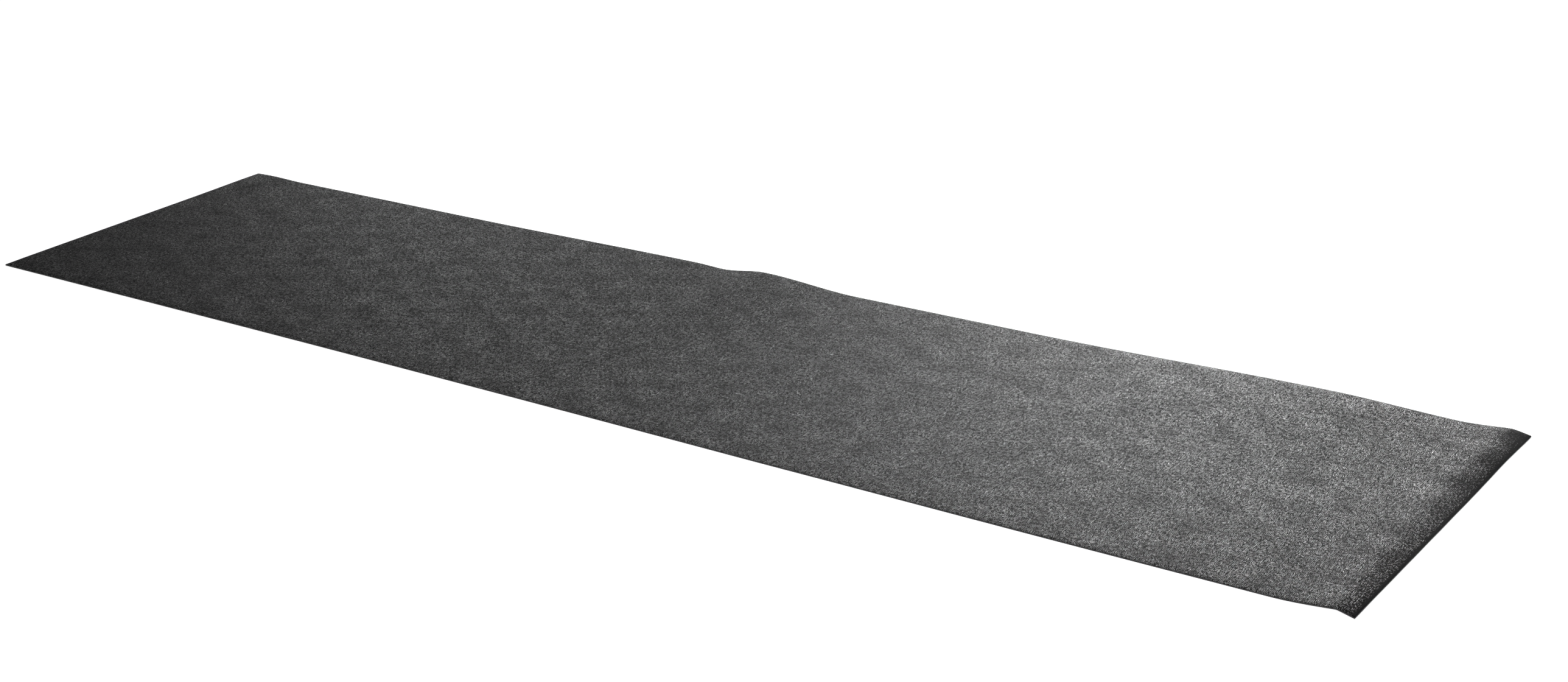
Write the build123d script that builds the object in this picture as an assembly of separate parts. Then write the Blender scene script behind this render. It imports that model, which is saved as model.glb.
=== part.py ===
from build123d import *
from math import radians, tan
import os

# A long, thin floor mat of closed-cell foam that folds once across its middle.
# It is one bonded sheet of three layers: an embossed wear skin on top, a foam core and a
# non-slip backing. The sheet is divided only where it bends, at the middle fold, into two
# halves with a row of narrow strips between them. Folding turns the +X half over onto the
# other one about a line above the mat, and brings the strips round into a bend of even angles.
#
# Millimetres. +X runs along the mat towards the end with the ridge, +Y across it, +Z up.
# The origin is on the floor under the middle of the mat.

# Driving dimensions
MAT_LENGTH = 3240
MAT_WIDTH = 762
BACKING_THICKNESS = 0.8
CORE_THICKNESS = 2.4
SKIN_THICKNESS = 0.8

# The middle fold: its inner radius when the mat is folded, and the strips that make the bend
FOLD_INNER_RADIUS = 14
BEND_STRIPS = 5
GAP_BETWEEN_BODIES = 0.3

# At the +X end the sheet lifts off the floor in a low ridge and comes down again to its cut edge
RIDGE_RISE = 7.5
RIDGE_RUN_UP = 95
RIDGE_RUN_DOWN = 38

HALF_LENGTH = MAT_LENGTH / 2
TURN_PER_STRIP = 180 / (BEND_STRIPS + 1)
STRIP_WIDTH = 2 * FOLD_INNER_RADIUS * tan(radians(TURN_PER_STRIP / 2))
FOLD_HALF_WIDTH = STRIP_WIDTH * BEND_STRIPS / 2
HALF_GAP = GAP_BETWEEN_BODIES / 2

CORE_BOTTOM = BACKING_THICKNESS
SKIN_BOTTOM = CORE_BOTTOM + CORE_THICKNESS
MAT_TOP = SKIN_BOTTOM + SKIN_THICKNESS

# Each layer's lower and upper height where the mat lies flat on the floor
LAYERS = {
    "wear_skin": (SKIN_BOTTOM, MAT_TOP),
    "foam_core": (CORE_BOTTOM, SKIN_BOTTOM),
    "backing": (0, CORE_BOTTOM),
}


def left_half_line():
    """Side view of the left half's underside, as (along, rise) points: flat on the floor."""
    return [(-HALF_LENGTH, 0), (-FOLD_HALF_WIDTH - HALF_GAP, 0)]


def right_half_line():
    """Side view of the right half's underside: flat, then up over the ridge and down to the end."""
    ridge_top = HALF_LENGTH - RIDGE_RUN_DOWN
    return [
        (FOLD_HALF_WIDTH + HALF_GAP, 0),
        (ridge_top - RIDGE_RUN_UP, 0),
        (ridge_top, RIDGE_RISE),
        (HALF_LENGTH, 0),
    ]


def bend_strip_line(index):
    """Side view of one bend strip's underside. Its top face is one side of the bend's polygon."""
    start = index * STRIP_WIDTH - FOLD_HALF_WIDTH
    return [(start + HALF_GAP, 0), (start + STRIP_WIDTH - HALF_GAP, 0)]


def layer(line, bottom, top):
    """One layer of the sheet as a solid that follows the line, over the whole width."""
    lower = [(along, rise + bottom) for along, rise in line]
    upper = [(along, rise + top) for along, rise in reversed(line)]
    outline = Plane.XZ * Polygon(*lower, *upper, align=None)
    return extrude(outline, MAT_WIDTH / 2, both=True)


def body_lines():
    """The side view of every body of the mat, by name."""
    lines = {"left_half": left_half_line()}
    for index in range(BEND_STRIPS):
        lines[f"bend_{index + 1}"] = bend_strip_line(index)
    lines["right_half"] = right_half_line()
    return lines


os.makedirs("parts", exist_ok=True)
for body, line in body_lines().items():
    for name, (bottom, top) in LAYERS.items():
        export_step(layer(line, bottom, top), f"parts/{name}_{body}.step")
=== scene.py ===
from math import cos, pi, radians, sin

import bpy
import numpy as np
from mathutils import Matrix, Vector


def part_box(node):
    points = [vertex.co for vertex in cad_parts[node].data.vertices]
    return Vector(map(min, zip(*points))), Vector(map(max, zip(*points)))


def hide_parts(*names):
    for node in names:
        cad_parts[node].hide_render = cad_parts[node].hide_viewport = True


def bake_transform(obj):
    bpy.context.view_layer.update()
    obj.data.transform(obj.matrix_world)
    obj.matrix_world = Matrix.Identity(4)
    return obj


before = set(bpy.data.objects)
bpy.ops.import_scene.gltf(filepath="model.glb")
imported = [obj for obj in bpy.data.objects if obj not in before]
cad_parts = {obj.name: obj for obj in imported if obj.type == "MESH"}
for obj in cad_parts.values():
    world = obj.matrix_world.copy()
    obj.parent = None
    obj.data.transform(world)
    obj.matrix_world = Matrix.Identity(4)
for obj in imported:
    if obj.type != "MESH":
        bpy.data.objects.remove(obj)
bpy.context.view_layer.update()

# A long foam floor mat, modelled as its three bonded layers. Metres, in the CAD frame: +X runs
# along the mat to the end with the ridge, +Y to its far long side, and the floor is z = 0.

BODIES = ["left_half", *(f"bend_{n}" for n in range(1, 6)), "right_half"]
MM = 0.001

# The sheet's size and layers, from the frame
FLAT_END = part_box("foam_core_left_half")[0].x
RIDGE_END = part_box("foam_core_right_half")[1].x
NEAR_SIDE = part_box("foam_core_left_half")[0].y
FAR_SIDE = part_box("foam_core_left_half")[1].y
LENGTH = RIDGE_END - FLAT_END
WIDTH = FAR_SIDE - NEAR_SIDE
BACKING_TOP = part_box("backing_left_half")[1].z
CORE_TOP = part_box("foam_core_left_half")[1].z
MAT_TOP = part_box("wear_skin_left_half")[1].z

# How far to each side of mid-length the sheet bends at the fold
FOLD_REACH = 10 * MM

# Where the sheet is off the floor, and by how much. "along" is a share of the length from the
# flat end, and "across" a share of the width from the near side. The four ridge and lip heights
# without MM are in millimetres.
HUMP_HEIGHT = 12.6 * MM
SHOULDER_HEIGHT = 3.8 * MM
RIDGE_HEIGHT = 7.6
RIDGE_ROUNDING = 1.5
DENT_DEPTH = 0.5
LIP_HEIGHT = 2.2
RIDGE_START = 0.957
RIDGE_TOP = 0.991
FAR_SIDE_HEIGHT = 8.2 * MM
CORNER_HEIGHT = 2.4 * MM
SWELL_HEIGHT = 0.35 * MM
SWELL_ALONG = LENGTH * 0.0627
SWELL_ACROSS = WIDTH * 0.14

# How the near side bows in over most of its length, and out again before the ridge
BOW_IN = 4.6 * MM
BOW_OUT = 1.3 * MM
BOW_END = 0.66

# The cut edge: its rounding, how much thinner it is pressed, and the angle in degrees from which
# an edge is shaded sharp
EDGE_ROUND = 1.2 * MM
EDGE_ROUND_DROP = 0.45
EDGE_TAPER = 12 * MM
EDGE_PRESS = 0.2
SHARP_ANGLE = 50

# The mesh's grid spacing, coarse and fine
STEP_ALONG = 12 * MM
STEP_ACROSS = 8 * MM
HUMP_STEP = 5 * MM
TAPER_STEP = 3 * MM
RIDGE_STEP = 2.5 * MM
FOLD_STEP = 0.8 * MM

# The embossed grain, the smooth strip at the ridge end and the fade before it
GRAIN_PITCH = 2.7 * MM
GRAIN_DEPTH = 0.28 * MM
GRAIN_STRETCH = 0.62
ROW_WANDER = 1.3
SMOOTH_END = 5 * MM
FADE_END = 48 * MM
FADE_WANDER = 12 * MM

# How many clouds, specks or cells of each kind there are to the metre
MOTTLE_SCALE = 16.0
PATCH_SCALE = 130.0
WANDER_SCALE = 210.0
ROW_PATCH_SCALE = 85.0
SPECK_SCALE = 260.0
FOAM_CELLS = 2200.0
BACKING_PIMPLES = 420.0

# The white floor, the wall at its rim, and the soft lamps
STAGE_RADIUS = 30.0
STAGE_SIDES = 96
FLOOR_DROP = 0.2 * MM
SOFTBOX = (1.1, 0.8)
KEY_PLACE = (-0.2, 3.7, 1.7)


def smooth_step(value, start, end):
    """0 before start and 1 after end, with a smooth rise between."""
    share = np.clip((value - start) / (end - start), 0, 1)
    return share * share * (3 - 2 * share)


def swell(value, start, top, end):
    """A smooth rise from 0 at start to 1 at top, and down to 0 again at end."""
    return np.where(value < top, smooth_step(value, start, top), 1 - smooth_step(value, top, end))


def soft_lower(a, b, reach):
    """The lower of two heights, with a rounded change from one to the other."""
    return (a + b - np.sqrt((a - b) ** 2 + reach**2)) / 2


def fold_hump(along, across):
    """The soft hump that the fold has left at the far side. It fades out towards the near side."""
    steep_side = swell(along, 0.452, 0.491, 0.564)
    shoulder = swell(along, 0.24, 0.43, 0.468)
    fade = smooth_step(across, 0.35, 1.0) ** 1.3
    return (HUMP_HEIGHT * steep_side + SHOULDER_HEIGHT * shoulder) * fade


def end_ridge(along, across):
    """The ridge across the end of the right half: sharp at the near side, rounder at the far side.

    The heights are in millimetres until the last line."""
    middle = np.sin(pi * across)
    top = RIDGE_TOP - 0.004 * middle - 0.001 * across
    height = RIDGE_HEIGHT - 0.8 * across - 1.2 * middle
    turns_across = 2 * pi * across * WIDTH / SWELL_ACROSS
    dents = np.sin(turns_across + 0.8) * DENT_DEPTH
    dents = dents + np.sin(turns_across / 1.9 + 2.1) * DENT_DEPTH
    height = height + dents * middle + end_lip(1.0, across)
    rise = height * smooth_step(along, RIDGE_START - 0.004 * middle, 2 * top - RIDGE_START) * 2
    fall = height * (1 - along) / (1 - top)
    ridge = soft_lower(rise, fall, 0.5 + RIDGE_ROUNDING * smooth_step(across, 0.0, 0.3))
    return np.clip(ridge + end_lip(along, across), 0, None) * MM


def end_lip(along, across):
    """The stretch of the end edge that doesn't quite lie down, in millimetres."""
    return LIP_HEIGHT * swell(across, 0.62, 0.84, 0.98) * smooth_step(along, 0.985, 1.0)


def far_side_lift(along, across):
    """The long low lift of the far side before the ridge."""
    return FAR_SIDE_HEIGHT * swell(along, 0.7, 0.885, 0.972) * smooth_step(across, 0.55, 1.0)


def corner_lift(along, across):
    """The small curl of the far corner at the flat end."""
    return CORNER_HEIGHT * swell(along, -0.012, 0.016, 0.05) * smooth_step(across, 0.72, 0.97)


def unevenness(along, across):
    """The slight regular swell of the foam."""
    wave_along = np.sin(2 * pi * along * LENGTH / SWELL_ALONG)
    wave_across = np.sin(2 * pi * across * WIDTH / SWELL_ACROSS)
    inside = smooth_step(np.minimum(across, 1 - across), 0.0, 0.08)
    return SWELL_HEIGHT * (1 + wave_along * wave_across) * inside


def lift(x, y):
    """How far the sheet's underside is off the floor."""
    along = (x - FLAT_END) / LENGTH
    across = (y - NEAR_SIDE) / WIDTH
    shapes = (fold_hump, end_ridge, far_side_lift, corner_lift, unevenness)
    return sum(shape(along, across) for shape in shapes)


def side_bow(x):
    """How far the near side bows in from a straight line."""
    along = (x - FLAT_END) / LENGTH
    bow_in = BOW_IN * np.sin(pi * np.clip(along / BOW_END, 0, 1))
    return bow_in - BOW_OUT * swell(along, BOW_END, 0.84, 1.0)


def stations(low, high, step, fine):
    """Grid lines from low to high about step apart, with each (start, end, step) in fine closer set."""
    lines = list(np.linspace(low, high, max(2, round((high - low) / step) + 1)))
    for start, end, fine_step in fine:
        lines = [place for place in lines if not start <= place <= end]
        lines += list(np.linspace(start, end, round((end - start) / fine_step) + 1))
    return np.array(sorted(lines))


def edge_stations(low, high, step, fine):
    """Stations with extra lines where the top face rounds over at both ends."""
    rounded = [0.0, 0.15, 0.4, 0.7, 1.0]
    inner = stations(low + 2 * EDGE_ROUND, high - 2 * EDGE_ROUND, step, fine)
    start = [low + EDGE_ROUND * share for share in rounded]
    end = [high - EDGE_ROUND * share for share in reversed(rounded)]
    return np.array([*start, *inner, *end])


def rounded_drop(distance):
    """How far the top face drops at this distance from the cut edge."""
    share = 1 - np.clip(distance / EDGE_ROUND, 0, 1)
    return EDGE_ROUND * EDGE_ROUND_DROP * (1 - np.sqrt(1 - share**2))


def squeeze(from_edge):
    """How much of its full thickness the sheet keeps, where the cut has pressed its edge thinner."""
    return 1 - EDGE_PRESS * (1 - smooth_step(from_edge, 0.0, EDGE_TAPER))


def grid():
    """The sheet's x and y grid, as two arrays of the same shape."""
    fold_lines = (-1.6 * FOLD_REACH, 1.6 * FOLD_REACH, FOLD_STEP)
    hump_low, hump_high = FLAT_END + 0.455 * LENGTH, FLAT_END + 0.55 * LENGTH
    ridge_low = FLAT_END + 0.952 * LENGTH
    fine = [
        (FLAT_END + 2 * EDGE_ROUND, FLAT_END + EDGE_TAPER, TAPER_STEP),
        (hump_low, hump_high, HUMP_STEP),
        fold_lines,
        (ridge_low, RIDGE_END - 3 * EDGE_ROUND, RIDGE_STEP),
    ]
    near_taper = (NEAR_SIDE + 2 * EDGE_ROUND, NEAR_SIDE + EDGE_TAPER, TAPER_STEP)
    far_taper = (FAR_SIDE - EDGE_TAPER, FAR_SIDE - 2 * EDGE_ROUND, TAPER_STEP)
    xs = edge_stations(FLAT_END, RIDGE_END, STEP_ALONG, fine)
    ys = edge_stations(NEAR_SIDE, FAR_SIDE, STEP_ACROSS, (near_taper, far_taper))
    return np.meshgrid(xs, ys, indexing="ij")


def slab(name, low, high, round_top):
    """A closed mesh of one layer, from low to high above the sheet's underside."""
    x, y = grid()
    across = (y - NEAR_SIDE) / WIDTH
    y_bowed = y + side_bow(x) * (1 - across)
    base = lift(x, y)
    from_edge = np.minimum.reduce([x - FLAT_END, RIDGE_END - x, y - NEAR_SIDE, FAR_SIDE - y])
    bottom = base + low * squeeze(from_edge)
    top = base + high * squeeze(from_edge)
    if round_top:
        top = top - rounded_drop(from_edge)
    rows, columns = x.shape
    count = rows * columns
    points = np.concatenate([
        np.stack([x, y_bowed, bottom], -1).reshape(-1, 3),
        np.stack([x, y_bowed, top], -1).reshape(-1, 3),
    ])
    flat = np.concatenate([
        np.stack([x, y, np.full_like(x, low)], -1).reshape(-1, 3),
        np.stack([x, y, np.full_like(x, high)], -1).reshape(-1, 3),
    ])
    index = np.arange(count).reshape(rows, columns)
    corners = [index[:-1, :-1], index[1:, :-1], index[1:, 1:], index[:-1, 1:]]
    quad = np.stack(corners, -1).reshape(-1, 4)
    rim = np.concatenate([index[:, 0], index[-1, 1:], index[-2::-1, -1], index[0, -2:0:-1]])
    after = np.roll(rim, -1)
    wall = np.stack([rim, after, after + count, rim + count], -1)
    faces = np.concatenate([quad[:, ::-1], quad + count, wall])
    mesh = bpy.data.meshes.new(name)
    mesh.from_pydata(points.tolist(), [], faces.tolist())
    place = mesh.attributes.new("flat_place", "FLOAT_VECTOR", "POINT")
    place.data.foreach_set("vector", flat.astype(np.float32).ravel())
    mesh.shade_smooth()
    mesh.set_sharp_from_angle(angle=radians(SHARP_ANGLE))
    piece = bpy.data.objects.new(name, mesh)
    bpy.context.scene.collection.objects.link(piece)
    return piece


class Nodes:
    """Short calls for building one material's node tree."""

    def __init__(self, name):
        self.material = bpy.data.materials.new(name)
        self.material.use_nodes = True
        self.tree = self.material.node_tree
        self.shader = self.tree.nodes["Principled BSDF"]

    def put(self, socket, value):
        """Links another node's output to the socket, or sets the socket's own value."""
        if isinstance(value, bpy.types.NodeSocket):
            self.tree.links.new(value, socket)
        elif value is not None:
            socket.default_value = value

    def node(self, kind, inputs=(), **settings):
        made = self.tree.nodes.new(kind)
        for name, value in settings.items():
            setattr(made, name, value)
        for name, value in dict(inputs).items():
            self.put(made.inputs[name], value)
        return made

    def math(self, operation, a, b=None):
        made = self.node("ShaderNodeMath", operation=operation)
        self.put(made.inputs[0], a)
        self.put(made.inputs[1], b)
        return made.outputs[0]

    def place(self, scale):
        """The flat sheet's own coordinates, scaled by a vector."""
        flat = self.node("ShaderNodeAttribute", attribute_name="flat_place").outputs["Vector"]
        return self.node("ShaderNodeVectorMath", {0: flat, 1: scale}, operation="MULTIPLY").outputs[0]

    def noise(self, vector, scale, detail, roughness=0.5):
        """Cloudy noise with this many features to the metre."""
        inputs = {"Vector": vector, "Scale": scale, "Detail": detail, "Roughness": roughness}
        return self.node("ShaderNodeTexNoise", inputs).outputs["Fac"]

    def cells(self, vector, scale):
        """The distance to the nearest of scattered points, this many to the metre."""
        return self.node("ShaderNodeTexVoronoi", {"Vector": vector, "Scale": scale}).outputs["Distance"]

    def spread(self, value, low, high, to_low, to_high, smooth=False):
        """The value taken from the range low to high into the range to_low to to_high."""
        inputs = {"Value": value, "From Min": low, "From Max": high, "To Min": to_low, "To Max": to_high}
        kind = "SMOOTHSTEP" if smooth else "LINEAR"
        made = self.node("ShaderNodeMapRange", inputs, interpolation_type=kind, clamp=True)
        return made.outputs["Result"]

    def blend(self, share, a, b):
        """Colour a where share is 0, and b where it is 1."""
        made = self.node("ShaderNodeMix", data_type="RGBA")
        self.put(made.inputs["Factor"], share)
        self.put(made.inputs["A"], a)
        self.put(made.inputs["B"], b)
        return made.outputs["Result"]


def grey(value):
    return (value, value, value, 1.0)


def skin_material():
    """Black embossed vinyl: curly ridges that shine on a dull black ground, smooth along one end. The
    crests' lighter colour is partly wear and partly a painted highlight.
    """
    n = Nodes("embossed_wear_skin")
    flat = n.place((1.0, 1.0, 0.0))
    parts = n.node("ShaderNodeSeparateXYZ", {0: n.place((1.0, 1.0, 1.0))})
    to_end = n.math("SUBTRACT", RIDGE_END, parts.outputs[0])

    coarse = n.place((2 * pi / SWELL_ALONG, 2 * pi / SWELL_ACROSS, 0.0))
    phase = n.node("ShaderNodeSeparateXYZ", {0: coarse})
    lattice = n.math("MULTIPLY", n.math("SINE", phase.outputs[0]), n.math("SINE", phase.outputs[1]))
    mottle = n.math("ADD", n.math("MULTIPLY", lattice, 0.08), n.noise(flat, MOTTLE_SCALE, 4.0, 0.7))
    patches = n.spread(n.noise(flat, PATCH_SCALE, 2.0, 0.7), 0.32, 0.66, 0.35, 1.0)

    # Curls follow the lines where a noise crosses its middle. Between them lie patches of
    # ridges that run across the mat.
    stretched = n.place((1.0, GRAIN_STRETCH, 0.0))
    crests = n.noise(stretched, 1 / GRAIN_PITCH, 0.0)
    curls = n.spread(n.math("ABSOLUTE", n.math("SUBTRACT", crests, 0.5)), 0.0, 0.09, 1.0, 0.0)
    wander = n.math("MULTIPLY", n.noise(stretched, WANDER_SCALE, 0.0), ROW_WANDER)
    phase_along = n.math("ADD", n.math("DIVIDE", parts.outputs[0], GRAIN_PITCH), wander)
    rows = n.spread(n.math("SINE", n.math("MULTIPLY", phase_along, 2 * pi)), 0.0, 1.0, 0.0, 1.0)
    in_rows = n.spread(n.noise(flat, ROW_PATCH_SCALE, 0.0), 0.44, 0.6, 0.0, 1.0)
    curls_between = n.math("MULTIPLY", curls, n.math("SUBTRACT", 1.0, in_rows))
    ridges = n.math("ADD", n.math("MULTIPLY", rows, in_rows), curls_between)

    # They thin out to single curls near the ridge end, and stop at its smooth strip.
    ragged_end = n.math("ADD", to_end, n.spread(mottle, 0.3, 0.7, -FADE_WANDER, FADE_WANDER))
    # Towards the far side more curls are missing at the end, which darkens the far end corner as painted
    # shade.
    end_thinning_and_shade = n.spread(parts.outputs[1], 0.0, FAR_SIDE, 0.44, 0.54)
    missing = n.spread(ragged_end, SMOOTH_END, FADE_END, end_thinning_and_shade, 0.3, smooth=True)
    specks = n.math("SUBTRACT", n.noise(flat, SPECK_SCALE, 0.0), missing)
    single = n.spread(specks, 0.0, 0.1, 0.0, 1.0, smooth=True)
    strip_edge = n.math("ADD", to_end, n.spread(crests, 0.3, 0.7, -2 * MM, 2 * MM))
    grained = n.spread(strip_edge, SMOOTH_END - 1.5 * MM, SMOOTH_END + 1.5 * MM, 0.0, 1.0, smooth=True)
    height = n.math("MULTIPLY", n.math("MULTIPLY", ridges, patches), n.math("MULTIPLY", single, grained))

    # The crests are painted lighter than the ground, partly as wear and partly as a painted highlight
    # for their sheen. This comes in patches, and towards the far end corner it is darkened as painted
    # shade.
    end_shade_to_far_side = n.spread(parts.outputs[1], 0.0, FAR_SIDE, 1.0, 0.2)
    crest_patches_and_end_shade = n.math("MULTIPLY", n.spread(mottle, 0.3, 0.7, 0.48, 1.0),
                  n.spread(ragged_end, SMOOTH_END, 1.5 * FADE_END, end_shade_to_far_side, 1.0, smooth=True))
    lighter_tops = n.math("MULTIPLY", n.math("POWER", height, 1.3), crest_patches_and_end_shade)
    n.put(n.shader.inputs["Base Color"], n.blend(lighter_tops, grey(0.003), grey(0.75)))
    n.put(n.shader.inputs["Roughness"], n.spread(lighter_tops, 0.0, 0.6, 0.9, 0.3))
    n.put(n.shader.inputs["Specular IOR Level"], 0.12)
    bump = n.node("ShaderNodeBump", {"Strength": 1.0, "Distance": GRAIN_DEPTH, "Height": height})
    n.put(n.shader.inputs["Normal"], bump.outputs["Normal"])
    return n.material


def core_material():
    """The cut face of closed-cell foam: dark grey with fine cells."""
    n = Nodes("closed_cell_foam")
    cells = n.cells(n.place((1.0, 1.0, 1.0)), FOAM_CELLS)
    patch = n.noise(n.place((1.0, 1.0, 1.0)), 60.0, 3.0)
    tone = n.math("MULTIPLY", n.spread(cells, 0.0, 0.8, 0.6, 1.0), n.spread(patch, 0.3, 0.7, 0.7, 1.0))
    n.put(n.shader.inputs["Base Color"], n.blend(tone, grey(0.012), grey(0.05)))
    n.put(n.shader.inputs["Roughness"], n.spread(patch, 0.3, 0.7, 0.8, 0.95))
    bump = n.node("ShaderNodeBump", {"Strength": 0.6, "Distance": 0.15 * MM, "Height": cells})
    n.put(n.shader.inputs["Normal"], bump.outputs["Normal"])
    return n.material


def backing_material():
    """The non-slip underside: a fine pimpled film."""
    n = Nodes("non_slip_backing")
    pimples = n.cells(n.place((1.0, 1.0, 1.0)), BACKING_PIMPLES)
    patch = n.noise(n.place((1.0, 1.0, 1.0)), 20.0, 4.0)
    height = n.spread(pimples, 0.1, 0.55, 1.0, 0.0, smooth=True)
    lighter_tops = n.math("MULTIPLY", height, patch)
    n.put(n.shader.inputs["Base Color"], n.blend(lighter_tops, grey(0.018), grey(0.07)))
    n.put(n.shader.inputs["Roughness"], n.spread(patch, 0.3, 0.7, 0.78, 0.92))
    n.put(n.shader.inputs["Specular IOR Level"], 0.25)
    bump = n.node("ShaderNodeBump", {"Strength": 0.8, "Distance": 0.25 * MM, "Height": height})
    n.put(n.shader.inputs["Normal"], bump.outputs["Normal"])
    return n.material


def layer(name, low, high, material, round_top=False):
    """One layer of the whole sheet, which replaces its CAD nodes."""
    piece = slab(name, low, high, round_top)
    piece.data.materials.append(material)
    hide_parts(*(f"{name}_{body}" for body in BODIES))
    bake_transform(piece)
    return piece


def build_mat():
    skin = layer("wear_skin", CORE_TOP, MAT_TOP, skin_material(), round_top=True)
    core = layer("foam_core", BACKING_TOP, CORE_TOP, core_material())
    backing = layer("backing", 0.0, BACKING_TOP, backing_material())


def stage_piece(name, points, faces):
    """A plain white surface, lit evenly by itself, that isn't part of the object."""
    n = Nodes(name)
    n.put(n.shader.inputs["Base Color"], grey(0.9))
    n.put(n.shader.inputs["Roughness"], 0.9)
    n.put(n.shader.inputs["Emission Color"], grey(1.0))
    n.put(n.shader.inputs["Emission Strength"], 1.0)
    mesh = bpy.data.meshes.new(name)
    mesh.from_pydata(points, [], faces)
    mesh.materials.append(n.material)
    piece = bpy.data.objects.new(name, mesh)
    bpy.context.scene.collection.objects.link(piece)
    return piece


def build_stage():
    """A round white floor, and a wall at its rim that gives the mat no light of its own."""
    turns = [2 * pi * share / STAGE_SIDES for share in range(STAGE_SIDES)]
    rim = [(STAGE_RADIUS * cos(turn), STAGE_RADIUS * sin(turn), 0) for turn in turns]
    top = [(x, y, STAGE_RADIUS) for x, y, z in rim]
    floor = stage_piece("floor", rim, [list(range(STAGE_SIDES))])
    floor.location.z = -FLOOR_DROP
    after = [*range(1, STAGE_SIDES), 0]
    sides = [(near, far, far + STAGE_SIDES, near + STAGE_SIDES) for near, far in enumerate(after)]
    wall = stage_piece("backdrop", rim + top, sides)
    wall.visible_diffuse = False
    wall.visible_glossy = False
    wall.visible_shadow = False


def build_light(name, place, target, size, energy, spread=180):
    """A soft rectangular light at a place, aimed at a target."""
    data = bpy.data.lights.new(name, "AREA")
    data.shape = "RECTANGLE"
    data.size, data.size_y = size
    data.energy = energy
    data.spread = radians(spread)
    lamp = bpy.data.objects.new(name, data)
    lamp.location = place
    lamp.rotation_euler = (Vector(target) - Vector(place)).to_track_quat("-Z", "Y").to_euler()
    bpy.context.scene.collection.objects.link(lamp)


def build_lights():
    world = bpy.data.worlds.new("studio")
    world.use_nodes = True
    world.node_tree.nodes["Background"].inputs["Color"].default_value = grey(1.0)
    world.node_tree.nodes["Background"].inputs["Strength"].default_value = 0.01
    bpy.context.scene.world = world
    aim = (0.9, 0, 0)
    build_light("key", KEY_PLACE, aim, SOFTBOX, 67)
    build_light("focused", (-0.25, 3.95, 1.0), aim, SOFTBOX, 35, spread=80)
    build_light("accent", KEY_PLACE, (1.05, -0.3, 0), SOFTBOX, 2.8, spread=22)
    build_light("side", (-2.7, 2.2, 0.9), aim, SOFTBOX, 26)
    build_light("front", (1.5, -3.0, 2.6), (0.6, 0.2, 0), (1.0, 1.0), 5, spread=60)


def build_camera():
    """The camera, by where it stands and how it is turned."""
    place = Vector((5.77 * WIDTH + FLAT_END, -3.82 * WIDTH + NEAR_SIDE, 2.215 * WIDTH))
    azimuth, down, roll = radians(-36.99), radians(21.61), radians(2.91)
    forward = Vector((sin(azimuth) * cos(down), cos(azimuth) * cos(down), -sin(down)))
    level_right = forward.cross(Vector((0, 0, 1))).normalized()
    level_down = forward.cross(level_right)
    right = cos(roll) * level_right + sin(roll) * level_down
    up = sin(roll) * level_right - cos(roll) * level_down
    data = bpy.data.cameras.new("camera")
    data.sensor_width = 36
    data.lens = 52.9
    camera = bpy.data.objects.new("camera", data)
    turn = Matrix((right, up, -forward)).transposed().to_4x4()
    camera.matrix_world = Matrix.Translation(place) @ turn
    bpy.context.scene.collection.objects.link(camera)
    bpy.context.scene.camera = camera


build_mat()
build_stage()
build_lights()
build_camera()
bpy.context.scene.view_settings.view_transform = "Standard"
